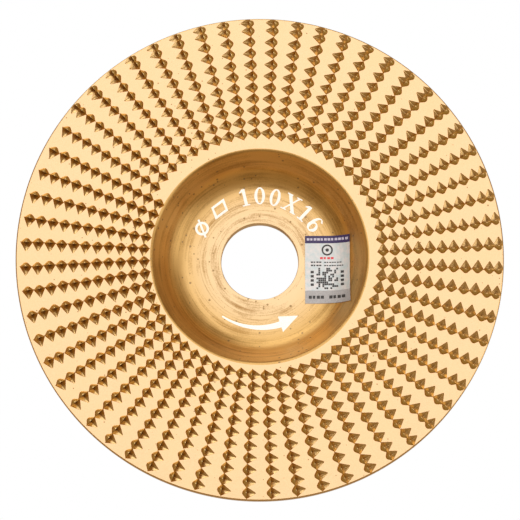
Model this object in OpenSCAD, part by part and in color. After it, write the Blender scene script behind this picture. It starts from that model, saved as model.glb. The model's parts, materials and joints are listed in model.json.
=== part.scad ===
// Carving disc for an angle grinder: a dished steel disc, gold coated, whose
// flat face carries one long spiral of punched teeth. White marks are printed
// on the hub floor, and a silver seal label is stuck in the dish.
// Origin: centre of the bore, on the back face of the hub. +Z leaves the
// toothed face, and the teeth cut counter-clockwise seen from that side.
// All sizes are in millimetres.

/* [Disc] */
// Outer diameter of the disc
disc_d = 100; // [80:1:125]
// Thickness of the toothed plate
plate_t = 3; // [2.4:0.1:4]
// Size of the bevel on the outer edge
edge_bevel = 0.25; // [0.1:0.05:0.5]

/* [Hub] */
// Diameter of the spindle bore
bore_d = 16; // [10:0.1:20]
// Thickness of the hub, which is faced thinner than the plate
hub_t = 2.6; // [2:0.1:3.2]
// Bevel on the front end of the bore
bore_bevel = 0.15; // [0.05:0.05:0.3]

/* [Dish] */
// Diameter of the dish where its wall meets the toothed face
dish_d = 44; // [36:0.5:54]
// Depth of the hub floor below the toothed face
dish_depth = 7; // [5:0.1:8.5]
// Slope of the dish wall from flat, in degrees
wall_slope = 60; // [55:1:75]
// Radius of the hollow corner between floor and wall
floor_fillet = 6; // [1:0.1:8]
// Radius of the rounded rim at the top of the wall
rim_round = 0.8; // [0.3:0.1:1.2]

/* [Teeth] */
// Width of one tooth across its cutting lip
tooth_w = 2.35; // [1.2:0.05:2.6]
// Height of one tooth above the face
tooth_h = 0.7; // [0.3:0.05:1]
// Radius of the blunt tip of a tooth
tooth_tip_r = 0.12; // [0.05:0.01:0.3]
// Length of the pit in front of a tooth
pit_length = 1.7; // [0.8:0.05:2.2]
// Depth of the pit at the tooth
pit_depth = 0.9; // [0.4:0.05:1.2]
// Clear space kept between neighbouring marks
mark_gap = 0.04; // [0.02:0.01:0.2]
// Plain land between the dish rim and the first tooth's centre
inner_land = 1.7; // [1.4:0.1:4]
// How far the spiral would run past the edge if it were not crowded there
spiral_overrun = 0.25; // [0:0.05:0.5]
// Width of the outer band where the spiral is crowded
crowded_band = 1.9; // [0.5:0.1:3]
// Share of the pitch that is lost in the crowded band
crowding = 0.45; // [0:0.05:0.6]
// Direction of the first tooth from +X, in degrees
first_angle = 151.9; // [0:0.1:360]
// Lean of the radial rows, in degrees for each millimetre outwards
row_lean = 0.025; // [-0.1:0.005:0.1]
// Offset of the punching centre from the disc's axis along X
punch_shift_x = 0.19; // [-0.3:0.01:0.3]
// Offset of the punching centre from the disc's axis along Y
punch_shift_y = -0.05; // [-0.3:0.01:0.3]

/* [Print on the hub floor] */
// Height of the printed characters
character_h = 3.6; // [2:0.1:4]
// Bare margin kept between the print and the edges of the floor
print_margin = 0.6; // [0.3:0.1:1]
// Thickness of the white ink
ink_t = 0.05; // [0.03:0.01:0.1]
// Width of the direction arrow's head
arrow_head_w = 3.4; // [2:0.1:4]

/* [Seal label] */
// Width of the label in plan
label_w = 9.2; // [5:0.1:10]
// Height of the label in plan
label_h = 14.2; // [10:0.1:16]
// Gap between the bore and the label's near side
label_gap = 1.4; // [0.8:0.1:3]
// How far the label's middle sits below the X axis
label_drop = 1.75; // [0:0.05:3]
// Thickness of the glue under the label
glue_t = 0.05; // [0.03:0.01:0.1]
// Thickness of the label's film
film_t = 0.1; // [0.06:0.01:0.2]
// Thickness of the label's printed ink
label_ink_t = 0.04; // [0.03:0.01:0.08]

/* [Hidden] */

round_fn = 180;      // facets that OpenSCAD shows on the large circles
small_fn = 24;       // facets that OpenSCAD shows on a tooth
arc_steps = 8;       // straight steps along one rounded corner
outline_steps = 40;  // straight steps round one printed oval
least_straight = 0.2; // straight wall that is always left between two roundings

disc_r = disc_d/2;
bore_r = bore_d/2;
dish_r = dish_d/2;
face_z = hub_t + dish_depth;   // the toothed face
back_z = face_z - plate_t;     // the back of the toothed plate

// Front of the dish: the sharp corners that its roundings replace
wall_run = dish_depth/tan(wall_slope);
corner_r = dish_r - wall_run;
floor_round = min(floor_fillet, dish_depth/sin(wall_slope)/tan(wall_slope/2) - rim_round - least_straight);
fillet_cut = floor_round*tan(wall_slope/2);
rim_cut = rim_round*tan(wall_slope/2);
floor_r = corner_r - fillet_cut;                  // edge of the flat floor
wall_top_r = dish_r - rim_cut*cos(wall_slope);    // top of the straight wall
wall_length = dish_depth/sin(wall_slope) - fillet_cut - rim_cut;

// Back of the dish, one plate thickness behind the front of the wall
back_rim_round = rim_round + plate_t;
back_floor_round = min(
    floor_round + plate_t,
    back_z/sin(wall_slope)/tan(wall_slope/2) - back_rim_round - least_straight
);
back_line_r = dish_r + plate_t/sin(wall_slope);   // back wall line at face height
back_rim_r = back_line_r - plate_t/tan(wall_slope);
back_corner_r = back_line_r - face_z/tan(wall_slope);

// The spiral of teeth
turns = 11;
marks_per_turn = 60;
marks = turns*marks_per_turn - 1;
mark_step = 360/marks_per_turn;
spiral_start_r = dish_r + inner_land;
spiral_end_r = disc_r + spiral_overrun;
crowded_r = disc_r - crowded_band;

// Layers of the label, measured from the dish's surface
film_base = glue_t;
film_top = glue_t + film_t;
label_ink_top = film_top + label_ink_t;

// The label keeps clear of the dish rim
label_x0 = bore_r + label_gap;
label_y0 = -label_drop - label_h/2;
label_reach_y = label_drop + label_h/2;
label_x1 = min(label_x0 + label_w, sqrt(pow(wall_top_r - print_margin, 2) - pow(label_reach_y, 2)));
label_span = label_x1 - label_x0;

// The print may climb the hollow corner until the surface is this steep
print_slope = 17;
print_reach_r = floor_r + floor_round*sin(print_slope);
mark_h = min(character_h, print_reach_r - bore_r - 2*print_margin);
mark_mid_r = print_reach_r - print_margin - mark_h/2;

// Points along an arc, from one direction to another
function arc(centre, radius, from, to, steps = arc_steps) = [
    for (i = [0:steps]) centre + radius*[cos(from + (to - from)*i/steps), sin(from + (to - from)*i/steps)]
];

// Points round an oval
function oval(rx, ry) = [
    for (i = [0:outline_steps - 1]) [rx*cos(360*i/outline_steps), ry*sin(360*i/outline_steps)]
];

// Half section of the plate, with the distance from the axis first and the height second
function plate_section() = concat(
    [
        [bore_r, 0],
        [bore_r, hub_t - bore_bevel],
        [bore_r + bore_bevel, hub_t],
    ],
    arc([floor_r, hub_t + floor_round], floor_round, -90, wall_slope - 90),
    arc([dish_r + rim_cut, face_z - rim_round], rim_round, wall_slope + 90, 90),
    [
        [disc_r - edge_bevel, face_z],
        [disc_r, face_z - edge_bevel],
        [disc_r, back_z + edge_bevel],
        [disc_r - edge_bevel, back_z],
    ],
    arc(
        [back_rim_r + back_rim_round*tan(wall_slope/2), back_z - back_rim_round],
        back_rim_round, 90, wall_slope + 90
    ),
    arc(
        [back_corner_r - back_floor_round*tan(wall_slope/2), back_floor_round],
        back_floor_round, wall_slope - 90, -90
    )
);

// Distance of a mark from the punching centre, first without and then with crowding
function open_spiral_r(n) = spiral_start_r + (spiral_end_r - spiral_start_r)*n/(marks - 1);
function mark_r(n) = open_spiral_r(n) - crowding*max(0, open_spiral_r(n) - crowded_r);
function mark_angle(n) = first_angle + mark_step*n + row_lean*(mark_r(n) - spiral_start_r);

// Free width between the same row's marks on the turns inside and outside
function room_inside(n) = n < marks_per_turn ? tooth_w + mark_gap : mark_r(n) - mark_r(n - marks_per_turn);
function room_outside(n) = room_inside(min(n + marks_per_turn, marks - 1));
function mark_w(n) = min(tooth_w, room_inside(n) - mark_gap, room_outside(n) - mark_gap);
function mark_l(n) = min(pit_length, mark_r(n)*sin(mark_step) - mark_w(n)/2 - mark_gap);

// Puts a child at one mark: X outwards, Y along the cut, Z out of the face
module at_mark(n) {
    translate([punch_shift_x, punch_shift_y, face_z])
        rotate([0, 0, mark_angle(n)])
            translate([mark_r(n), 0, 0])
                children();
}

// The pit: a three-sided hollow, deepest at the tooth, that runs out ahead of it
module tooth_pit(w, length) {
    above = 0.05;
    grow = (pit_depth + above)/pit_depth;
    polyhedron(
        points = [
            [-w/2*grow, 0, above],
            [w/2*grow, 0, above],
            [0, length*grow, above],
            [0, 0, -pit_depth],
        ],
        faces = [[0, 2, 1], [0, 1, 3], [1, 2, 3], [2, 0, 3]]
    );
}

// The tooth: the half cone of metal that the punch raises behind the pit
module tooth(w) {
    rotate([0, 0, 180])
        rotate_extrude(angle = 180, $fn = small_fn)
            polygon([[0, 0], [w/2, 0], [tooth_tip_r, tooth_h], [0, tooth_h]]);
}

// One turn of the spiral, cut off where it passes the edge of the disc
module tooth_turn(turn) {
    first = (turn - 1)*marks_per_turn;
    last = min(turn*marks_per_turn, marks) - 1;
    edge_r = disc_r - edge_bevel;
    color("gold")
        for (n = [first:last])
            if (mark_r(n) + mark_w(n)/2 + abs(punch_shift_x) + abs(punch_shift_y) < edge_r)
                at_mark(n) tooth(mark_w(n));
            else
                intersection() {
                    at_mark(n) tooth(mark_w(n));
                    translate([0, 0, face_z]) cylinder(r = edge_r, h = 2*tooth_h, $fn = round_fn);
                }
}

module disc_plate() {
    color("goldenrod")
        difference() {
            rotate_extrude($fn = round_fn) polygon(plate_section());
            for (n = [0:marks - 1]) at_mark(n) tooth_pit(mark_w(n), mark_l(n));
        }
}

// Printed characters, one unit high and centred on their own middle
module digit_one() {
    translate([-0.09, -0.5]) square([0.18, 1]);
    translate([-0.22, -0.5]) square([0.44, 0.07]);
    polygon([[-0.09, 0.5], [-0.26, 0.36], [-0.26, 0.28], [-0.09, 0.34]]);
}

module digit_zero() {
    difference() {
        polygon(oval(0.31, 0.5));
        polygon(oval(0.14, 0.42));
    }
}

module digit_six() {
    difference() {
        polygon(oval(0.31, 0.5));
        polygon(oval(0.14, 0.44));
        translate([0, -0.2]) square([0.4, 0.55]);
    }
    translate([0, -0.19])
        difference() {
            polygon(oval(0.31, 0.31));
            polygon(oval(0.13, 0.23));
        }
}

module times_sign() {
    intersection() {
        square(1, center = true);
        union() {
            rotate(33) square([0.19, 1.5], center = true);
            rotate(-33) square([0.09, 1.5], center = true);
        }
    }
    for (x = [-0.3, 0.3], y = [-0.465, 0.465]) translate([x, y]) square([0.34, 0.07], center = true);
}

module diameter_shape() {
    difference() {
        circle(r = 0.4, $fn = 48);
        circle(r = 0.26, $fn = 48);
    }
    rotate(-38) square([0.12, 1.12], center = true);
}

module flat_face_shape() {
    difference() {
        polygon([[-0.56, -0.36], [0.34, -0.36], [0.56, 0.36], [-0.34, 0.36]]);
        polygon([[-0.36, -0.22], [0.26, -0.22], [0.36, 0.22], [-0.26, 0.22]]);
    }
}

// Lays a flat child on the dish as a layer of ink
module dish_ink() {
    color("white")
        intersection() {
            dish_sheet(0, ink_t);
            linear_extrude(face_z) children();
        }
}

// Prints a flat child on the hub floor, its foot towards the bore
module floor_print(angle) {
    dish_ink()
        rotate(angle - 90)
            translate([0, mark_mid_r])
                scale([mark_h, mark_h]) children();
}

module size_mark_digits() {
    floor_print(103) digit_one();
    floor_print(90) digit_zero();
    floor_print(76.6) digit_zero();
    floor_print(61.5) times_sign();
    floor_print(46.8) digit_one();
    floor_print(34) digit_six();
}

module diameter_sign() {
    floor_print(150) diameter_shape();
}

module flat_face_sign() {
    floor_print(127) flat_face_shape();
}

// Arrow on the hub floor that shows which way the disc turns
module direction_arrow() {
    tail = 236;
    neck = 288;
    tip = 305;
    tail_w = 0.3;
    neck_w = 1.3;
    steps = 24;
    head_w = min(arrow_head_w, mark_h);
    outer = [
        for (i = [0:steps]) let (a = tail + (neck - tail)*i/steps, w = tail_w + (neck_w - tail_w)*i/steps)
            (mark_mid_r + w/2)*[cos(a), sin(a)]
    ];
    inner = [
        for (i = [steps:-1:0]) let (a = tail + (neck - tail)*i/steps, w = tail_w + (neck_w - tail_w)*i/steps)
            (mark_mid_r - w/2)*[cos(a), sin(a)]
    ];
    head = [
        (mark_mid_r + head_w/2)*[cos(neck), sin(neck)],
        mark_mid_r*[cos(tip), sin(tip)],
        (mark_mid_r - head_w/2)*[cos(neck), sin(neck)],
    ];
    dish_ink() polygon(concat(outer, head, inner));
}

// A sheet that lies on the dish between two heights above its surface
module dish_sheet(low, high) {
    inside = bore_r + bore_bevel;
    wall_way = [cos(wall_slope), sin(wall_slope)];
    lift = [-sin(wall_slope), cos(wall_slope)];
    foot = [floor_r, hub_t] + floor_round*[sin(wall_slope), 1 - cos(wall_slope)];
    head = foot + wall_way*wall_length;
    rotate_extrude($fn = round_fn)
        polygon(concat(
            [[inside, hub_t + low]],
            arc([floor_r, hub_t + floor_round], floor_round - low, -90, wall_slope - 90),
            [head + lift*low, head + lift*high],
            arc([floor_r, hub_t + floor_round], floor_round - high, wall_slope - 90, -90),
            [[inside, hub_t + high]]
        ));
}

// Lays a flat child, drawn on a label one unit wide and one unit high, on the dish
module on_label(low, high) {
    intersection() {
        dish_sheet(low, high);
        linear_extrude(face_z) children();
    }
}

// One rectangle of the label, given as shares of its width and height from its lower left corner
module label_box(x, y, w, h) {
    translate([label_x0 + x*label_span, label_y0 + y*label_h]) square([w*label_span, h*label_h]);
}

// A line of short bars that stands for small print
module label_bars(x, y, w, h, count, fill = 0.62) {
    for (i = [0:count - 1])
        label_box(x + w*i/count, y, w/count*(i%3 == 1 ? fill : fill + 0.16), h);
}

header_y = 0.89;
footer_y = 0.19;

module label_glue() {
    color("lightyellow") on_label(0, glue_t) label_box(0, 0, 1, 1);
}

module label_film() {
    color("silver") on_label(film_base, film_top) label_box(0, 0, 1, 1);
}

module label_header() {
    color("midnightblue") on_label(film_top, label_ink_top) label_box(0, header_y, 1, 1 - header_y);
}

module label_header_marks() {
    color("lavender")
        on_label(label_ink_top, label_ink_top + label_ink_t) label_bars(0.04, 0.93, 0.94, 0.035, 12);
}

// A small picture of the disc itself: a ring with a bore
module label_emblem() {
    middle = [label_x0 + 0.5*label_span, label_y0 + 0.79*label_h];
    ring_r = min(0.13*label_span, 0.082*label_h);
    color("black")
        on_label(film_top, label_ink_top) {
            translate(middle)
                difference() {
                    circle(r = ring_r, $fn = 48);
                    circle(r = 0.72*ring_r, $fn = 48);
                }
            translate(middle) circle(r = 0.3*ring_r, $fn = 24);
        }
}

module label_red_line() {
    color("red") on_label(film_top, label_ink_top) label_bars(0.34, 0.655, 0.32, 0.03, 4);
}

module label_text_lines() {
    color("black")
        on_label(film_top, label_ink_top) {
            label_bars(0.13, 0.6, 0.25, 0.02, 4);
            label_bars(0.43, 0.6, 0.4, 0.015, 7);
            label_bars(0.13, 0.552, 0.25, 0.02, 4);
            label_bars(0.43, 0.552, 0.45, 0.015, 8);
        }
}

// A block of small squares that stands for a printed code and can't be read as one
module label_code_block() {
    cells = 11;
    block_w = 0.49*label_span;
    cell = block_w/cells;
    corner = [label_x0 + 0.255*label_span, label_y0 + 0.212*label_h];
    color("black")
        on_label(film_top, label_ink_top)
            for (i = [0:cells - 1], j = [0:cells - 1])
                let (spread = 437.58*sin(127.1*i + 311.7*j + 40))
                    if (spread - floor(spread) < 0.56)
                        translate(corner + cell*[i, j]) square(0.88*cell);
}

module label_side_marks() {
    color("black")
        on_label(film_top, label_ink_top)
            for (i = [0:3]) {
                label_box(0.125, 0.26 + 0.062*i, 0.07, 0.036);
                label_box(0.8, 0.26 + 0.062*i, 0.07, 0.036);
            }
}

module label_footer() {
    color("darkgray") on_label(film_top, label_ink_top) label_box(0, 0, 1, footer_y);
}

module label_footer_marks() {
    color("dimgray")
        on_label(label_ink_top, label_ink_top + label_ink_t) {
            label_bars(0.08, 0.07, 0.36, 0.045, 4);
            label_bars(0.54, 0.07, 0.37, 0.045, 4);
        }
}

disc_plate();
tooth_turn(1);  // tooth_turn_01
tooth_turn(2);  // tooth_turn_02
tooth_turn(3);  // tooth_turn_03
tooth_turn(4);  // tooth_turn_04
tooth_turn(5);  // tooth_turn_05
tooth_turn(6);  // tooth_turn_06
tooth_turn(7);  // tooth_turn_07
tooth_turn(8);  // tooth_turn_08
tooth_turn(9);  // tooth_turn_09
tooth_turn(10);  // tooth_turn_10
tooth_turn(11);  // tooth_turn_11
size_mark_digits();
diameter_sign();
flat_face_sign();
direction_arrow();
label_glue();
label_film();
label_header();
label_header_marks();
label_emblem();
label_red_line();
label_text_lines();
label_code_block();
label_side_marks();
label_footer();
label_footer_marks();
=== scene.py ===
# %% [markdown]
# # A carving disc for an angle grinder
#
# The object is one dished steel disc, gold coated, with a long spiral of punched
# teeth on its flat face. White marks are printed on the floor of its dish, and a
# silver seal label is stuck beside the bore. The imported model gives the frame:
# the bore's axis is Z, the back of the hub is at height zero, and everything is
# in metres. The disc is modelled here again, finely, around that frame.

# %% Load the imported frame
import json
import math
import random

import bpy
from mathutils import Matrix, Vector


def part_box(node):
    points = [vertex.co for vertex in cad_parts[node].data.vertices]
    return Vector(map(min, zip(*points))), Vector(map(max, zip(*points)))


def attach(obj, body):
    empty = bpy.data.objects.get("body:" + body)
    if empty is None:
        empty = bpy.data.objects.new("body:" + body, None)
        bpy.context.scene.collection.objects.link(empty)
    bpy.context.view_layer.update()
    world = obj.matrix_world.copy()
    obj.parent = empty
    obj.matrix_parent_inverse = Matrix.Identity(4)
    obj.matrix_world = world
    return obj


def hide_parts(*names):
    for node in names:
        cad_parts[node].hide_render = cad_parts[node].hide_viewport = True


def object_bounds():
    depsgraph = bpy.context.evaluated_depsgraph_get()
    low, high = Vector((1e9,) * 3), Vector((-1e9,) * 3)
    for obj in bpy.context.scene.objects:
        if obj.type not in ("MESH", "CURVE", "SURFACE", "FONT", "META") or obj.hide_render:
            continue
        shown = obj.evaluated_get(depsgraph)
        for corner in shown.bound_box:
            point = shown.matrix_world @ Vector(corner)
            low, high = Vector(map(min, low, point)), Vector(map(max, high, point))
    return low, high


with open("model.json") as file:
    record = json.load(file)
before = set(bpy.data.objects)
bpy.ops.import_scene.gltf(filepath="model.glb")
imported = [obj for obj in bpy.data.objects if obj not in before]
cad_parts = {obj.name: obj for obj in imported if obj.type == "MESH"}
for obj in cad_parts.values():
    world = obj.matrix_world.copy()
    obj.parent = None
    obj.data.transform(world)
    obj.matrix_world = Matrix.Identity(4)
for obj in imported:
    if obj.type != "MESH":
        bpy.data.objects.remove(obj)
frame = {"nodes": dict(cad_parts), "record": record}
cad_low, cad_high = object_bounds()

MM = 0.001
print("nodes in the frame:", len(frame["nodes"]))

# %% [markdown]
# ## Sizes
#
# The frame says where the face, the floor, the bore and the edge are, so they
# are read from it. The other sizes are the ones that the disc is designed
# with. They are written in millimetres, because a toolmaker thinks of a tooth
# as 2.5 mm wide, and one factor turns them into the frame's metres.

# %% Sizes of the disc
plate_low, plate_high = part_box("disc_plate")
mounts = {mount["name"]: mount for mount in frame["record"]["mounts"]}
DISC_R = plate_high.x
FACE_Z = plate_high.z
FLOOR_Z = mounts["nut_seat"]["pos_m"][2]
BORE_R = mounts["bore"]["dims"]["r_mm"] * MM
DISH_R = 22 * MM
PLATE_T = 3 * MM
BACK_Z = FACE_Z - PLATE_T
WALL_SLOPE = math.radians(60)
FLOOR_FILLET = 6 * MM
RIM_ROUND = 0.8 * MM
EDGE_BEVEL = 0.25 * MM
HALF_SLOPE = math.tan(WALL_SLOPE / 2)   # how far a rounding of this wall cuts, for its radius
CLOSE = 0.001 * MM                      # nearer than this, two places count as one
print("face at %.2f mm, floor at %.2f mm" % (FACE_Z / MM, FLOOR_Z / MM))

# %% [markdown]
# ## Camera
#
# The disc is looked at nearly square on, from half a metre away and a little
# below its middle, through a long lens. The camera is made first, so that
# every piece can be judged in the picture it is meant for.

# %% Camera
TILT = math.radians(9.41)
CAMERA_AWAY = 0.508
LENS = 171.8
AIM_BELOW = 0.83 * MM
AIM_RIGHT = 0.05 * MM
toward_camera = Vector((0, -math.sin(TILT), math.cos(TILT)))
upward = Vector((0, math.cos(TILT), math.sin(TILT)))
face_centre = Vector((0, 0, FACE_Z))
bpy.ops.object.camera_add(location=face_centre + toward_camera * CAMERA_AWAY)
camera = bpy.context.object
camera.name = "camera"
camera.data.sensor_width = 36
camera.data.lens = LENS
camera.data.clip_start = 0.01
aim = face_centre - upward * AIM_BELOW + Vector((AIM_RIGHT, 0, 0))
camera.rotation_euler = (aim - camera.location).to_track_quat("-Z", "Y").to_euler()
bpy.context.scene.camera = camera
print("camera at", [round(c, 3) for c in camera.location])

# %% [markdown]
# ## Helpers for working by hand
#
# An operator acts on whatever is selected, so each step first clears the
# selection and then picks what it needs by its place or its normal.

# %% Helpers
def take_up(piece):
    """Leaves edit mode, clears the selection and takes up one piece."""
    if bpy.context.object and bpy.context.object.mode != "OBJECT":
        bpy.ops.object.mode_set(mode="OBJECT")
    bpy.ops.object.select_all(action="DESELECT")
    piece.hide_set(False)
    piece.select_set(True)
    bpy.context.view_layer.objects.active = piece


def pick(piece, mode, test):
    """In edit mode, selects the vertices, edges or faces that pass a test."""
    bpy.ops.object.mode_set(mode="EDIT")
    bpy.ops.mesh.select_mode(type=mode)
    bpy.ops.mesh.select_all(action="DESELECT")
    bpy.ops.object.mode_set(mode="OBJECT")
    mesh = piece.data
    group = {"VERT": mesh.vertices, "EDGE": mesh.edges, "FACE": mesh.polygons}[mode]
    for item in group:
        item.select = bool(test(item))
    bpy.ops.object.mode_set(mode="EDIT")


def cut(piece, tool, operation):
    """Cuts a tool out of a piece, or keeps only what both hold."""
    modifier = piece.modifiers.new(operation.lower(), "BOOLEAN")
    modifier.operation = operation
    modifier.solver = "MANIFOLD"
    modifier.object = tool
    take_up(piece)
    bpy.ops.object.modifier_apply(modifier=modifier.name)


def throw_away(*pieces):
    for piece in pieces:
        bpy.data.objects.remove(piece)


def smooth(piece, degrees):
    """Shades a piece smooth where its faces meet at less than this angle."""
    take_up(piece)
    bpy.ops.object.shade_smooth_by_angle(angle=math.radians(degrees))


print("helpers ready")

# %% [markdown]
# ## The plate
#
# The real plate is punched from sheet and its middle pressed down into a
# dish, then the hub is turned flat. A cylinder could be dished by insetting its
# faces ring by ring, but every rounding would then be guessed. It is a shape of
# revolution, so half of its section is drawn first, by pulling one vertex from
# corner to corner. The corners are rounded with a vertex bevel, which takes
# their radius, and the outline is spun round the bore's axis. A shallow step on
# the hub floor is left by the turning tool.

# %% Corners of the half section
corner_r = DISH_R - (FACE_Z - FLOOR_Z) / math.tan(WALL_SLOPE)
back_line_r = DISH_R + PLATE_T / math.sin(WALL_SLOPE)
back_rim_r = back_line_r - PLATE_T / math.tan(WALL_SLOPE)
back_corner_r = back_line_r - FACE_Z / math.tan(WALL_SLOPE)
TURNED_R = 12.4 * MM
TURNED_DEEP = 0.03 * MM
TURNED_RUN = 0.05 * MM
BORE_BEVEL = 0.15 * MM
section = [
    (BORE_R, 0),
    (BORE_R, FLOOR_Z - TURNED_DEEP),
    (TURNED_R, FLOOR_Z - TURNED_DEEP),
    (TURNED_R + TURNED_RUN, FLOOR_Z),
    (corner_r, FLOOR_Z),
    (DISH_R, FACE_Z),
    (DISC_R, FACE_Z),
    (DISC_R, BACK_Z),
    (back_rim_r, BACK_Z),
    (back_corner_r, 0),
]
# Each rounding: the corner's number, how far it is cut back, and its steps
roundings = [
    (1, BORE_BEVEL, 3),
    (4, FLOOR_FILLET * HALF_SLOPE, 12),
    (5, RIM_ROUND * HALF_SLOPE, 7),
    (6, EDGE_BEVEL, 4),
    (7, EDGE_BEVEL, 4),
    (8, (RIM_ROUND + PLATE_T) * HALF_SLOPE, 12),
    (9, (FLOOR_FILLET + PLATE_T) * HALF_SLOPE, 14),
]
print("section corners:", len(section))


# %% Draw, round and spin the section
def draw_outline(name, corners):
    """Pulls one vertex from corner to corner and closes the outline."""
    bpy.ops.object.select_all(action="DESELECT")
    bpy.ops.mesh.primitive_plane_add(size=MM)
    piece = bpy.context.object
    piece.name = name
    bpy.ops.object.mode_set(mode="EDIT")
    bpy.ops.mesh.merge(type="CENTER")
    bpy.ops.transform.translate(value=corners[0])
    for here, there in zip(corners, corners[1:]):
        bpy.ops.mesh.extrude_vertices_move(TRANSFORM_OT_translate={"value": there - here})
    ends = (corners[0], corners[-1])
    pick(piece, "VERT", lambda v: min((v.co - end).length for end in ends) < CLOSE)
    bpy.ops.mesh.edge_face_add()
    bpy.ops.object.mode_set(mode="OBJECT")
    return piece


def round_corner(piece, corner, cut_back, steps):
    """Rounds the section at one corner, which is cut back along both sides."""
    pick(piece, "VERT", lambda v: (v.co - corner).length < CLOSE)
    bpy.ops.mesh.bevel(offset=cut_back, segments=steps, affect="VERTICES", profile=0.5)
    bpy.ops.object.mode_set(mode="OBJECT")


AROUND = 288
corners = [Vector((r, 0, z)) for r, z in section]
plate = draw_outline("punched_plate", corners)
for index, cut_back, steps in roundings:
    round_corner(plate, corners[index], cut_back, steps)
print("outline vertices:", len(plate.data.vertices))
take_up(plate)
bpy.ops.object.mode_set(mode="EDIT")
bpy.ops.mesh.select_all(action="SELECT")
bpy.ops.mesh.spin(steps=AROUND, angle=math.tau, center=(0, 0, 0), axis=(0, 0, 1))
bpy.ops.mesh.select_all(action="SELECT")
bpy.ops.mesh.remove_doubles(threshold=CLOSE)
bpy.ops.mesh.normals_make_consistent(inside=False)
bpy.ops.object.mode_set(mode="OBJECT")
print("plate faces:", len(plate.data.polygons), "size", [round(d, 5) for d in plate.dimensions])

# %% [markdown]
# ## Where the punch strikes
#
# A machine turns the blank under a punch and feeds it outwards, sixty strokes
# to a turn, so the marks lie on one spiral that also lines up in radial rows.
# Near the edge the feed slows down and the last turn crowds the one before.
# No two strokes are quite alike: each gets a little seeded play.

# %% The spiral of strokes
TURNS = 11
PER_TURN = 60
STROKES = TURNS * PER_TURN - 1
FIRST_R = DISH_R + 1.7 * MM
LAST_R = DISC_R + 0.25 * MM
CROWDED_R = DISC_R - 1.9 * MM
CROWDING = 0.45
FIRST_ANGLE = 151.9
ROW_LEAN = 0.025
PUNCH_SHIFT = Vector((0.19 * MM, -0.05 * MM, 0))
MARK_W = 2.46 * MM
PIT_LENGTH = 2.0 * MM
PIT_DEPTH = 0.52 * MM
TOOTH_H = 0.7 * MM
PLAY_OUTWARDS = 0.035 * MM
PLAY_ALONG = 0.05 * MM
PLAY_TWIST = 1.6
PLAY_SCALE = (0.94, 1.0)


def stroke_radius(n):
    """How far from the axis stroke n falls."""
    r = FIRST_R + (LAST_R - FIRST_R) * n / (STROKES - 1)
    return r - CROWDING * max(0, r - CROWDED_R)


play = random.Random(11)


def stroke_place(n):
    """The matrix that carries a tool from the origin to stroke n."""
    r = stroke_radius(n)
    angle = FIRST_ANGLE + n * 360 / PER_TURN + ROW_LEAN * (r - FIRST_R) / MM
    nudge = Vector((play.gauss(0, PLAY_OUTWARDS), play.gauss(0, PLAY_ALONG), 0))
    twist = math.radians(play.gauss(0, PLAY_TWIST))
    return (
        Matrix.Translation(PUNCH_SHIFT + Vector((0, 0, FACE_Z)))
        @ Matrix.Rotation(math.radians(angle), 4, "Z")
        @ Matrix.Translation(Vector((r, 0, 0)) + nudge)
        @ Matrix.Rotation(twist, 4, "Z")
        @ Matrix.Scale(play.uniform(*PLAY_SCALE), 4)
    )


places = [stroke_place(n) for n in range(STROKES)]
reach = [round(stroke_radius(n) / MM, 1) for n in (0, STROKES - 1)]
print("strokes:", len(places), "from and to this far out, in mm:", reach)

# %% [markdown]
# ## One pit
#
# The punch is a three-sided point. It leaves a hollow that is deepest under
# the tooth and runs out ahead of it. The hollows could be pushed into the
# plate's own faces, but those are long slivers, so a punch is modelled once and
# cut out at every stroke. A square is turned into a triangle by merging two
# corners, and pushed down to a point. Its keel is rounded. Its upper part
# flares a little, which breaks the sharp edge of the pit as the coating does.

# %% Model the punch
EDGE_BREAK = 0.05 * MM
POINT_AHEAD = 0.02 * MM


def model_punch():
    """A three-sided point, from just below the face down to the pit's bottom."""
    bpy.ops.object.select_all(action="DESELECT")
    bpy.ops.mesh.primitive_plane_add(size=1)
    punch = bpy.context.object
    punch.name = "punch"
    pick(punch, "VERT", lambda v: v.co.y > 0)
    bpy.ops.mesh.merge(type="CENTER")
    bpy.ops.mesh.select_all(action="SELECT")
    bpy.ops.transform.translate(value=(0, 0.5, 0))
    bpy.ops.object.mode_set(mode="OBJECT")
    punch.scale = (MARK_W, PIT_LENGTH, 1)
    bpy.ops.object.transform_apply(location=True, rotation=True, scale=True)
    top = -EDGE_BREAK
    bpy.ops.object.mode_set(mode="EDIT")
    bpy.ops.mesh.select_all(action="SELECT")
    bpy.ops.transform.translate(value=(0, 0, top))
    bpy.ops.mesh.extrude_region_move(TRANSFORM_OT_translate={"value": (0, 0, -PIT_DEPTH - top)})
    bpy.ops.mesh.merge(type="CENTER")
    bpy.ops.object.mode_set(mode="OBJECT")
    point = next(v.co.copy() for v in punch.data.vertices if v.co.z < top - CLOSE)
    pick(punch, "VERT", lambda v: v.co.z < top - CLOSE)
    bpy.ops.transform.translate(value=(-point.x, POINT_AHEAD - point.y, 0))
    bpy.ops.object.mode_set(mode="OBJECT")
    return punch


punch = model_punch()
print("punch vertices:", [tuple(round(c / MM, 2) for c in v.co) for v in punch.data.vertices])

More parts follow.
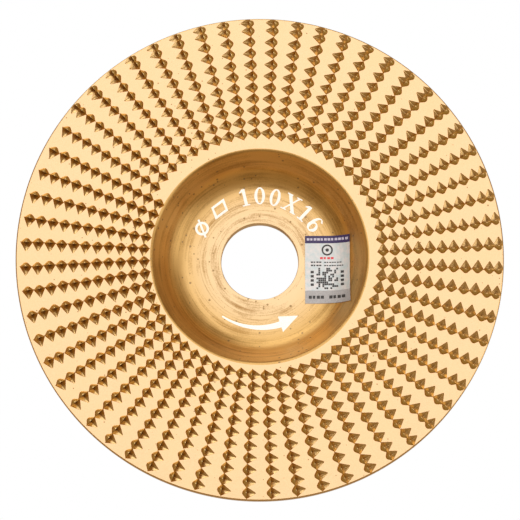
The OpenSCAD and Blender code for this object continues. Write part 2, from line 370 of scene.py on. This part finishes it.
# %% Round the punch's keel and flare its top
KEEL_ROUND = 0.16 * MM
ABOVE_FACE = 0.03 * MM
FLARE = 1.14
pick(punch, "EDGE", lambda e: all(abs(punch.data.vertices[v].co.x) < 10 * CLOSE for v in e.vertices))
bpy.ops.mesh.bevel(offset=KEEL_ROUND, segments=3, affect="EDGES", clamp_overlap=True)
bpy.ops.object.mode_set(mode="OBJECT")
pick(punch, "FACE", lambda f: f.center.z > -EDGE_BREAK - CLOSE)
bpy.ops.mesh.extrude_region_move(TRANSFORM_OT_translate={"value": (0, 0, EDGE_BREAK + ABOVE_FACE)})
bpy.ops.transform.resize(value=(FLARE, FLARE, 1))
bpy.ops.mesh.select_all(action="SELECT")
bpy.ops.mesh.normals_make_consistent(inside=False)
bpy.ops.object.mode_set(mode="OBJECT")
print("punch faces:", len(punch.data.polygons))

# %% [markdown]
# ## Strike the pits
#
# The punch is copied to every stroke, and the copies are cut out of the plate.
# Turns that lie side by side touch near the edge, so the odd turns and the even
# turns are cut one after the other, and no tool ever overlaps itself.


# %% Copy a tool to its strokes and cut the pits
def strike(tool, strokes, name):
    """Copies a tool to some strokes and joins the copies into one piece."""
    copies = []
    for n in strokes:
        copy = tool.copy()
        copy.data = tool.data.copy()
        bpy.context.collection.objects.link(copy)
        copy.matrix_world = places[n]
        copies.append(copy)
    take_up(copies[0])
    for copy in copies:
        copy.select_set(True)
    bpy.ops.object.join()
    piece = bpy.context.object
    piece.name = name
    bpy.ops.object.transform_apply(location=True, rotation=True, scale=True)
    return piece


def turn_strokes(turn):
    """The numbers of the strokes that lie on one turn of the spiral."""
    return range(turn * PER_TURN, min((turn + 1) * PER_TURN, STROKES))


for parity in (0, 1):
    strokes = [n for turn in range(parity, TURNS, 2) for n in turn_strokes(turn)]
    pits = strike(punch, strokes, "pits")
    cut(plate, pits, "DIFFERENCE")
    throw_away(pits)
throw_away(punch)
print("plate faces after punching:", len(plate.data.polygons))

# %% [markdown]
# ## One tooth
#
# The metal that the punch pushes out stands up behind the pit as a pointed
# heap: two slanting sides that meet in a rounded crease at the back, a steep
# front above the pit, and a blunt tip. A cone would be too even, so it starts
# as a four-sided prism. Its back corner is rounded with a bevel, its top is
# pulled up and drawn in, ring by ring, and the half in front of the lip is cut
# away with a bisect. The root goes a little way into the plate, so that no gap
# can show. Bisect's own threshold is a tenth of a millimetre, which on a tooth
# this small leaves the cut partly open, so it is given a finer one.

# %% Model the tooth
ROOT = 0.12 * MM
TOOTH_BACK = 0.46   # how far the foot reaches back, as a share of its width
BACK_ROUND = 0.6 * MM
TIP_BACK = 0.05 * MM
LIP_AHEAD = 0.01 * MM
FINE = 0.0001 * MM
# Each ring: its height in millimetres and its share of the width at the foot
TOOTH_RINGS = ((0.07, 0.93), (0.28, 0.66), (0.52, 0.33), (0.66, 0.14), (TOOTH_H / MM, 0.05))


def model_tooth():
    """A pointed heap that stands on the face, with its steep side towards +Y."""
    bpy.ops.object.select_all(action="DESELECT")
    bpy.ops.mesh.primitive_cylinder_add(
        vertices=4, radius=MARK_W / 2, depth=ROOT, location=(0, 0, -ROOT / 2)
    )
    tooth = bpy.context.object
    tooth.name = "tooth"
    tooth.scale = (1, 2 * TOOTH_BACK, 1)
    bpy.ops.object.transform_apply(location=True, rotation=True, scale=True)
    back = -0.1 * MM
    pick(tooth, "EDGE", lambda e: all(tooth.data.vertices[v].co.y < back for v in e.vertices))
    bpy.ops.mesh.bevel(offset=BACK_ROUND, segments=5, affect="EDGES")
    pick(tooth, "FACE", lambda f: f.normal.z > 0.9)
    height, share = 0, 1
    for ring_height, ring_share in TOOTH_RINGS:
        rise = (ring_height - height) * MM
        narrower = ring_share / share
        bpy.ops.mesh.extrude_region_move(TRANSFORM_OT_translate={"value": (0, 0, rise)})
        bpy.ops.transform.resize(value=(narrower, narrower, 1), center_override=(0, -TIP_BACK, 0))
        height, share = ring_height, ring_share
    bpy.ops.mesh.select_all(action="SELECT")
    bpy.ops.mesh.bisect(
        plane_co=(0, LIP_AHEAD, 0), plane_no=(0, 1, 0), use_fill=True, clear_outer=True, threshold=FINE
    )
    bpy.ops.mesh.select_all(action="SELECT")
    bpy.ops.mesh.normals_make_consistent(inside=False)
    bpy.ops.object.mode_set(mode="OBJECT")
    return tooth


tooth = model_tooth()
print("tooth faces:", len(tooth.data.polygons))

# %% [markdown]
# ## The rows of teeth
#
# The tooth is copied to its strokes, one piece for each turn of the spiral, as
# in the frame. The last turns run up to the edge of the disc, where turning
# the outside has cut the teeth off, so they are trimmed with a round blank.

# %% Set the teeth, turn by turn
EDGE_TRIM = 0.4 * MM
BLANK_HEIGHT = 4 * MM
teeth = []
for turn in range(TURNS):
    row = strike(tooth, turn_strokes(turn), "teeth_of_turn_%02d" % (turn + 1))
    outermost = stroke_radius(max(turn_strokes(turn))) + MARK_W / 2 + PUNCH_SHIFT.length
    if outermost > DISC_R - EDGE_TRIM:
        bpy.ops.object.select_all(action="DESELECT")
        bpy.ops.mesh.primitive_cylinder_add(
            vertices=AROUND, radius=DISC_R - EDGE_TRIM, depth=BLANK_HEIGHT, location=face_centre
        )
        blank = bpy.context.object
        cut(row, blank, "INTERSECT")
        throw_away(blank)
    smooth(row, 30)
    teeth.append(row)
throw_away(tooth)
print("teeth pieces:", len(teeth), "faces each:", [len(row.data.polygons) for row in teeth])

# %% [markdown]
# ## Node helpers
#
# Every finish is built from nodes. A short helper adds a node, sets its
# values and joins its inputs, so that a material reads like a recipe. What
# several finishes share is a node group with named inputs and outputs.


# %% Helpers for finishes
def add_node(tree, kind, inputs=None, **settings):
    """Adds a node, sets its properties, and fills or links its inputs."""
    made = tree.nodes.new(kind)
    for key, value in settings.items():
        setattr(made, key, value)
    for key, value in (inputs or {}).items():
        if isinstance(value, bpy.types.NodeSocket):
            tree.links.new(value, made.inputs[key])
        else:
            made.inputs[key].default_value = value
    return made


def new_group(name, inputs, outputs):
    """A node group with named inputs and outputs, and the tree to fill."""
    tree = bpy.data.node_groups.new(name, "ShaderNodeTree")
    for label, value in inputs:
        socket = tree.interface.new_socket(label, in_out="INPUT", socket_type="NodeSocketFloat")
        socket.default_value = value
    for label in outputs:
        tree.interface.new_socket(label, in_out="OUTPUT", socket_type="NodeSocketFloat")
    return tree, tree.nodes.new("NodeGroupInput").outputs, tree.nodes.new("NodeGroupOutput").inputs


def use_group(tree, group, **values):
    """Places a shared effect in a finish, with the finish's own values."""
    made = add_node(tree, "ShaderNodeGroup", node_tree=group)
    for key, value in values.items():
        made.inputs[key.capitalize()].default_value = value
    return made.outputs


def calculate(tree, operation, first, second):
    return add_node(tree, "ShaderNodeMath", {0: first, 1: second}, operation=operation).outputs[0]


def spread(tree, value, low, high, new_low=0.0, new_high=1.0, **settings):
    """Stretches the part of a value from low to high over a new range."""
    ends = {"Value": value, "From Min": low, "From Max": high, "To Min": new_low, "To Max": new_high}
    return add_node(tree, "ShaderNodeMapRange", ends, **settings).outputs[0]


def blend_colours(tree, factor, first, second):
    inputs = {"Factor": factor, "A": first, "B": second}
    return add_node(tree, "ShaderNodeMix", inputs, data_type="RGBA").outputs["Result"]


def bump_surface(tree, shader, height, distance, strength=1.0):
    """Raises and lowers the shaded surface by a height, without new geometry."""
    inputs = {"Strength": strength, "Distance": distance, "Height": height}
    bump = add_node(tree, "ShaderNodeBump", inputs)
    tree.links.new(bump.outputs[0], shader.inputs["Normal"])


def new_finish(name, roughness, metallic):
    """A material with its shader, and the tree to build the rest in."""
    material = bpy.data.materials.new(name)
    material.use_nodes = True
    tree = material.node_tree
    shader = tree.nodes["Principled BSDF"]
    shader.inputs["Roughness"].default_value = roughness
    shader.inputs["Metallic"].default_value = metallic
    return material, tree, shader


print("finish helpers ready")

# %% [markdown]
# ## Shared effects
#
# Three effects come back on several surfaces. Grain is the fine tooth of a
# ground and coated face. Rings are the marks that a lathe tool leaves, which
# depend only on the distance from the axis. Specks are small dark nicks and
# grains of dust, many on a close look and hardly seen from afar.


# %% Grain, rings and specks
def grain_group():
    """Fine grain and slow blotches. Size is the width of a grain in millimetres."""
    tree, given, result = new_group("grain", [("Size", 0.2)], ["Grain", "Blotch"])
    place = add_node(tree, "ShaderNodeTexCoord").outputs["Object"]
    scale = calculate(tree, "DIVIDE", 1 / MM, given["Size"])
    fine = add_node(tree, "ShaderNodeTexNoise", {"Vector": place, "Scale": scale, "Detail": 3.0})
    slow = add_node(tree, "ShaderNodeTexNoise", {"Vector": place, "Scale": 0.16 / MM, "Detail": 4.0})
    tree.links.new(fine.outputs["Fac"], result["Grain"])
    tree.links.new(slow.outputs["Fac"], result["Blotch"])
    return tree


def rings_group():
    """Turning marks round the axis. Pitch is their spacing in millimetres."""
    inputs = [("Pitch", 0.3), ("Waver", 1.5)]
    tree, given, result = new_group("turning_rings", inputs, ["Rings", "Bands", "Radius"])
    place = add_node(tree, "ShaderNodeTexCoord").outputs["Object"]
    parts = add_node(tree, "ShaderNodeSeparateXYZ", {0: place}).outputs
    flat = add_node(tree, "ShaderNodeCombineXYZ", {"X": parts["X"], "Y": parts["Y"]}).outputs[0]
    length = add_node(tree, "ShaderNodeVectorMath", {0: flat}, operation="LENGTH").outputs["Value"]
    radius = calculate(tree, "MULTIPLY", length, 1 / MM)
    along = add_node(tree, "ShaderNodeVectorMath", {0: flat}, operation="NORMALIZE").outputs["Vector"]
    swing = add_node(tree, "ShaderNodeSeparateXYZ", {0: along}).outputs
    across = calculate(tree, "DIVIDE", radius, given["Pitch"])
    sideways = calculate(tree, "MULTIPLY", swing["X"], given["Waver"])
    upwards = calculate(tree, "MULTIPLY", swing["Y"], given["Waver"])
    axes = {"X": across, "Y": sideways, "Z": upwards}
    thin = add_node(tree, "ShaderNodeCombineXYZ", axes).outputs[0]
    stretch = {0: thin, 1: (0.22, 0.6, 0.6)}
    wide = add_node(tree, "ShaderNodeVectorMath", stretch, operation="MULTIPLY").outputs[0]
    rings = add_node(tree, "ShaderNodeTexNoise", {"Vector": thin, "Scale": 1.0, "Detail": 3.0})
    bands = add_node(tree, "ShaderNodeTexNoise", {"Vector": wide, "Scale": 1.0, "Detail": 2.0})
    tree.links.new(rings.outputs["Fac"], result["Rings"])
    tree.links.new(bands.outputs["Fac"], result["Bands"])
    tree.links.new(radius, result["Radius"])
    return tree


def specks_group():
    """Small dark nicks. Size is their spacing in millimetres, Amount how many show."""
    tree, given, result = new_group("specks", [("Size", 0.5), ("Amount", 0.5)], ["Specks"])
    place = add_node(tree, "ShaderNodeTexCoord").outputs["Object"]
    scale = calculate(tree, "DIVIDE", 1 / MM, given["Size"])
    cells = add_node(tree, "ShaderNodeTexVoronoi", {"Vector": place, "Scale": scale})
    chance = add_node(tree, "ShaderNodeSeparateColor", {0: cells.outputs["Color"]}).outputs[0]
    over = calculate(tree, "SUBTRACT", chance, calculate(tree, "SUBTRACT", 1.0, given["Amount"]))
    room = calculate(tree, "SUBTRACT", calculate(tree, "MULTIPLY", over, 1.6), cells.outputs["Distance"])
    mask = add_node(tree, "ShaderNodeMath", {0: room, 1: 9.0}, operation="MULTIPLY", use_clamp=True)
    tree.links.new(mask.outputs[0], result["Specks"])
    return tree


GRAIN = grain_group()
RINGS = rings_group()
SPECKS = specks_group()
print("shared effects:", [group.name for group in (GRAIN, RINGS, SPECKS)])

# %% [markdown]
# ## The gold finishes
#
# One coating covers the whole disc, but it looks different wherever the steel
# under it was worked differently. The ground face is pale and bright, the
# turned dish is marked with rings, and the punched slopes, where the coat lies
# thicker, are a deeper gold. One finish with masks could do all three, but
# three short ones are easier to read and to change. Each is fully metallic, so
# its colour tints what it mirrors, and patterns follow the object's own place.

# %% Gold finishes
PALE_GOLD = (0.93, 0.69, 0.43, 1)
DULL_PALE_GOLD = (0.87, 0.62, 0.36, 1)
FLOOR_GOLD = (0.87, 0.67, 0.41, 1)
FLOOR_BROWN = (0.46, 0.28, 0.12, 1)
# The wall's colours are darker copies of the floor's, for painted shade on the wall of the dish
SHADED_WALL_GOLD = (0.74, 0.48, 0.18, 1)
SHADED_WALL_BROWN = (0.50, 0.30, 0.10, 1)
DEEP_GOLD = (0.82, 0.55, 0.17, 1)
DULL_DEEP_GOLD = (0.58, 0.36, 0.09, 1)
# Dark brown for painted shade at the bottom of a pit
PIT_SHADE_BROWN = (0.16, 0.07, 0.02, 1)
# Pale gold for a painted highlight on a tooth's tip, which also stands for wear
TIP_WEAR_AND_HIGHLIGHT_GOLD = (0.96, 0.74, 0.40, 1)
SPECK_BROWN = (0.38, 0.25, 0.12, 1)


def ground_finish(name, roughness, grain_size, grain_height, specks):
    """Pale gold with fine grain, slow blotches in colour and gloss, and nicks."""
    material, tree, shader = new_finish(name, roughness, 1.0)
    grain = use_group(tree, GRAIN, size=grain_size)
    uneven = calculate(tree, "MULTIPLY", grain["Grain"], grain["Blotch"])
    shade = spread(tree, uneven, 0.12, 0.4)
    colour = blend_colours(tree, shade, DULL_PALE_GOLD, PALE_GOLD)
    spots = use_group(tree, SPECKS, size=0.7, amount=specks)
    colour = blend_colours(tree, spots["Specks"], colour, SPECK_BROWN)
    tree.links.new(colour, shader.inputs["Base Color"])
    rough = spread(tree, grain["Blotch"], 0.3, 0.7, roughness - 0.04, roughness + 0.05)
    tree.links.new(rough, shader.inputs["Roughness"])
    bump_surface(tree, shader, grain["Grain"], grain_height)
    return material


def punched_finish(name, roughness, grain_size, grain_height):
    """Deep gold with painted shade at the bottom of a pit, pit walls painted paler as painted light, and
    a painted highlight, which also stands for wear, on a tooth's tip.
    """
    material, tree, shader = new_finish(name, roughness, 1.0)
    place = add_node(tree, "ShaderNodeTexCoord").outputs["Object"]
    level = add_node(tree, "ShaderNodeSeparateXYZ", {0: place}).outputs["Z"]
    # The deeper a point lies in a pit, the more painted shade it gets
    depth = spread(tree, level, FACE_Z - 0.3 * PIT_DEPTH, FACE_Z - PIT_DEPTH)
    # The higher a point stands on a tooth, the more painted highlight and wear it gets
    rise = spread(tree, level, FACE_Z + 0.3 * TOOTH_H, FACE_Z + TOOTH_H)
    grain = use_group(tree, GRAIN, size=grain_size)
    shade = spread(tree, grain["Grain"], 0.35, 0.65)
    colour = blend_colours(tree, shade, DULL_DEEP_GOLD, DEEP_GOLD)
    # Painted light: the walls of the pits are painted paler than the teeth, as if lit
    pit_wall_light = calculate(tree, "LESS_THAN", level, FACE_Z - CLOSE)
    colour = blend_colours(tree, calculate(tree, "MULTIPLY", pit_wall_light, 0.4), colour, PALE_GOLD)
    # Painted shade: the bottom of a pit goes to a dark brown
    colour = blend_colours(tree, depth, colour, PIT_SHADE_BROWN)
    # Painted highlight and wear: a tooth's tip goes to a pale gold
    colour = blend_colours(tree, calculate(tree, "MULTIPLY", rise, 0.7), colour, TIP_WEAR_AND_HIGHLIGHT_GOLD)
    tree.links.new(colour, shader.inputs["Base Color"])
    bump_surface(tree, shader, grain["Grain"], grain_height)
    return material


def turned_finish(name, roughness, pitch, ring_height):
    """Rings on the floor and the wall of the dish, and painted shade that deepens the colour up the
    wall.
    """
    material, tree, shader = new_finish(name, roughness, 1.0)
    rings = use_group(tree, RINGS, pitch=pitch)
    grain = use_group(tree, GRAIN, size=0.25)
    # Painted shade: from 9 to 18 mm out, the colour deepens from the floor's to the wall's
    wall_shade = spread(tree, rings["Radius"], 9.0, 18.0, interpolation_type="SMOOTHSTEP")
    lines = calculate(tree, "ADD", rings["Rings"], rings["Bands"])
    lines = calculate(tree, "ADD", lines, calculate(tree, "MULTIPLY", grain["Grain"], 0.5))
    lines = calculate(tree, "ADD", lines, calculate(tree, "MULTIPLY", grain["Blotch"], 0.7))
    shade = spread(tree, lines, 1.27, 1.66)
    floor_colour = blend_colours(tree, shade, FLOOR_BROWN, FLOOR_GOLD)
    shaded_wall_colour = blend_colours(tree, shade, SHADED_WALL_BROWN, SHADED_WALL_GOLD)
    colour = blend_colours(tree, wall_shade, floor_colour, shaded_wall_colour)
    spots = use_group(tree, SPECKS, size=0.8, amount=0.24)
    colour = blend_colours(tree, spots["Specks"], colour, SPECK_BROWN)
    tree.links.new(colour, shader.inputs["Base Color"])
    height = calculate(tree, "ADD", rings["Rings"], calculate(tree, "MULTIPLY", grain["Grain"], 0.5))
    bump_surface(tree, shader, height, ring_height)
    return material


ground_gold = ground_finish("ground_gold", 0.32, grain_size=0.22, grain_height=0.013 * MM, specks=0.17)
punched_gold = punched_finish("punched_gold", 0.22, grain_size=0.3, grain_height=0.02 * MM)
turned_gold = turned_finish("turned_gold", 0.36, pitch=0.28, ring_height=0.016 * MM)
print("gold finishes:", ground_gold.name, punched_gold.name, turned_gold.name)

# %% [markdown]
# ## Give each surface of the disc its finish
#
# The faces are sorted by place: inside the dish they are turned, flat on the
# face they are ground, and below the face between the rim and the edge they
# are the walls of pits. They could be picked by hand, but the punched plate has
# tens of thousands, and a rule sorts them the same way each time. The flat
# faces are shaded flat, so that the roundings beside them don't bend their
# shading.

# %% Sort the plate's faces
GROUND, PUNCHED, TURNED = range(3)
LEVEL = 0.9999
A_LITTLE = 0.01 * MM
plate.data.materials.clear()
for finish in (ground_gold, punched_gold, turned_gold):
    plate.data.materials.append(finish)
smooth(plate, 30)
rim_line = DISH_R + RIM_ROUND * HALF_SLOPE
counts = [0, 0, 0]
for face in plate.data.polygons:
    centre = face.center
    r = math.hypot(centre.x, centre.y)
    level = abs(face.normal.z) > LEVEL
    on_face = level and centre.z > FACE_Z - A_LITTLE
    below_face = BACK_Z + EDGE_BEVEL < centre.z < FACE_Z - CLOSE
    if r < rim_line + A_LITTLE and not on_face:
        face.material_index = TURNED
    elif below_face and r < DISC_R - A_LITTLE and not level:
        face.material_index = PUNCHED
    if level:
        face.use_smooth = False
    counts[face.material_index] += 1
for row in teeth:
    row.data.materials.clear()
    row.data.materials.append(punched_gold)
print("ground, punched and turned faces:", counts)

# %% [markdown]
# ## Ink and label
#
# The printed marks and the label's layers keep their shapes from the frame,
# which already follow the hollow of the dish. They could be painted on the
# plate with a mask, but then they couldn't be left out or changed. Real ink is
# never quite even, and the label's film is silvered plastic with a faint play
# of colour, so each gets a finish of its own.


# %% Ink and film finishes
def ink_finish(name, colour, worn):
    """Matt ink or glue that is worn to a second colour between its grains."""
    material, tree, shader = new_finish(name, 0.45, 0.0)
    grain = use_group(tree, GRAIN, size=0.18)
    shade = spread(tree, grain["Grain"], 0.3, 0.6)
    tree.links.new(blend_colours(tree, shade, worn, colour), shader.inputs["Base Color"])
    bump_surface(tree, shader, grain["Grain"], 0.01 * MM, strength=0.6)
    return material


def film_finish():
    """Silvered film whose tint drifts between a cool and a neutral grey."""
    material, tree, shader = new_finish("silver_film", 0.4, 0.2)
    grain = use_group(tree, GRAIN, size=0.9)
    tint = spread(tree, grain["Grain"], 0.35, 0.65)
    colour = blend_colours(tree, tint, (0.50, 0.58, 0.62, 1), (0.64, 0.63, 0.65, 1))
    tree.links.new(colour, shader.inputs["Base Color"])
    bump_surface(tree, shader, grain["Blotch"], 0.02 * MM, strength=0.4)
    return material


white_ink = ink_finish("white_ink", (0.95, 0.95, 0.95, 1), (0.85, 0.83, 0.78, 1))
black_ink = ink_finish("black_ink", (0.02, 0.02, 0.025, 1), (0.06, 0.06, 0.06, 1))
red_ink = ink_finish("red_ink", (0.60, 0.02, 0.03, 1), (0.75, 0.16, 0.18, 1))
navy_ink = ink_finish("navy_ink", (0.03, 0.02, 0.09, 1), (0.05, 0.04, 0.12, 1))
pale_ink = ink_finish("pale_ink", (0.55, 0.53, 0.66, 1), (0.35, 0.32, 0.45, 1))
grey_ink = ink_finish("grey_ink", (0.33, 0.33, 0.35, 1), (0.42, 0.42, 0.44, 1))
glue = ink_finish("glue", (0.75, 0.70, 0.55, 1), (0.6, 0.52, 0.36, 1))
silver_film = film_finish()
node_finishes = {
    "size_mark_digits": white_ink, "diameter_sign": white_ink, "flat_face_sign": white_ink,
    "direction_arrow": white_ink, "label_glue": glue, "label_film": silver_film,
    "label_header": navy_ink, "label_header_marks": pale_ink, "label_emblem": black_ink,
    "label_red_line": red_ink, "label_text_lines": black_ink, "label_code_block": black_ink,
    "label_side_marks": black_ink, "label_footer": grey_ink, "label_footer_marks": black_ink,
}
for name, finish in node_finishes.items():
    node = frame["nodes"][name]
    node.data.materials.clear()
    node.data.materials.append(finish)
print("finished nodes:", len(node_finishes))

# %% [markdown]
# ## Hand the pieces over
#
# Each modelled piece rides on the disc's one body and stands for the node
# whose place it takes.

# %% Ride and replace
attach(plate, "root")
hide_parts("disc_plate")
for index, row in enumerate(teeth):
    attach(row, "root")
    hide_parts("tooth_turn_%02d" % (index + 1))
print("pieces handed over:", 1 + len(teeth))

# %% [markdown]
# ## Table and light
#
# The disc lies on a plain white table under a large soft light. The face
# mirrors that light and comes out pale, while most slopes mirror the darker
# room around it, which is what makes the teeth stand out. A second light from
# above the disc's far edge and a card at its right brighten one side of the
# dish and of the teeth. A white room could be lit evenly instead, but gold
# without anything dark to mirror looks flat. So the table and the room look
# white to the camera only.


# %% Table and room
TABLE_BELOW = 0.05 * MM
TABLE_SIZE = 6
TABLE_GLOW = (0.42, 0.31, 0.20, 1)
ROOM_GLOW = (0.36, 0.25, 0.13, 1)


def white_to_camera(tree, output, seen, dim):
    """Light that the camera sees as white and that falls on the disc as a dim colour."""
    path = add_node(tree, "ShaderNodeLightPath").outputs["Is Camera Ray"]
    in_world = output.bl_idname == "ShaderNodeOutputWorld"
    kind = "ShaderNodeBackground" if in_world else "ShaderNodeEmission"
    bright = add_node(tree, kind, {"Color": (1, 1, 1, 1), "Strength": seen}).outputs[0]
    dark = add_node(tree, kind, {"Color": dim, "Strength": 1.0}).outputs[0]
    mix = add_node(tree, "ShaderNodeMixShader", {0: path, 1: dark, 2: bright}).outputs[0]
    if not in_world:
        # The table can be looked through from below, to show the back of the disc
        below = add_node(tree, "ShaderNodeNewGeometry").outputs["Backfacing"]
        clear = add_node(tree, "ShaderNodeBsdfTransparent").outputs[0]
        mix = add_node(tree, "ShaderNodeMixShader", {0: below, 1: mix, 2: clear}).outputs[0]
    tree.links.new(mix, output.inputs["Surface"])


scene = bpy.context.scene
scene.view_settings.view_transform = "Standard"
bpy.ops.object.select_all(action="DESELECT")
bpy.ops.mesh.primitive_plane_add(size=TABLE_SIZE, location=(0, 0, cad_low.z - TABLE_BELOW))
floor = bpy.context.object
floor.name = "table"
floor_paint = bpy.data.materials.new("table_white")
floor_paint.use_nodes = True
floor_paint.node_tree.nodes.clear()
floor_output = add_node(floor_paint.node_tree, "ShaderNodeOutputMaterial")
white_to_camera(floor_paint.node_tree, floor_output, 1.0, TABLE_GLOW)
floor.data.materials.append(floor_paint)
room = bpy.data.worlds.new("room")
scene.world = room
room.use_nodes = True
room.node_tree.nodes.clear()
room_output = add_node(room.node_tree, "ShaderNodeOutputWorld")
white_to_camera(room.node_tree, room_output, 0.95, ROOM_GLOW)
print("table and room:", floor.name, room.name)


# %% Lamps
def soft_lamp(name, place, size, brightness, target=(0, 0, 0)):
    """A flat rectangular lamp that points at its target.

    Its power grows with its size, so that the lamp itself looks this bright.
    """
    bpy.ops.object.light_add(type="AREA", location=place)
    lamp = bpy.context.object
    lamp.name = name
    lamp.data.shape = "RECTANGLE"
    lamp.data.size, lamp.data.size_y = size
    lamp.data.energy = brightness * math.pi * size[0] * size[1]
    lamp.rotation_euler = (Vector(target) - lamp.location).to_track_quat("-Z", "Y").to_euler()
    return lamp


soft_lamp("top_softbox", (0.0, 0.36, 0.75), (1.0, 1.1), 1.0, target=(0.0, 0.36, 0))
soft_lamp("side_softbox", (-0.35, 1.05, 0.5), (1.2, 0.5), 1.4)
soft_lamp("right_card", (0.8, -0.1, 0.55), (0.5, 0.6), 0.95)
# Metal doesn't mirror this card, so it lights only the matt ink and the label
card = soft_lamp("print_card", (0.1, -0.3, 0.8), (0.8, 0.8), 2.5)
card.visible_glossy = False
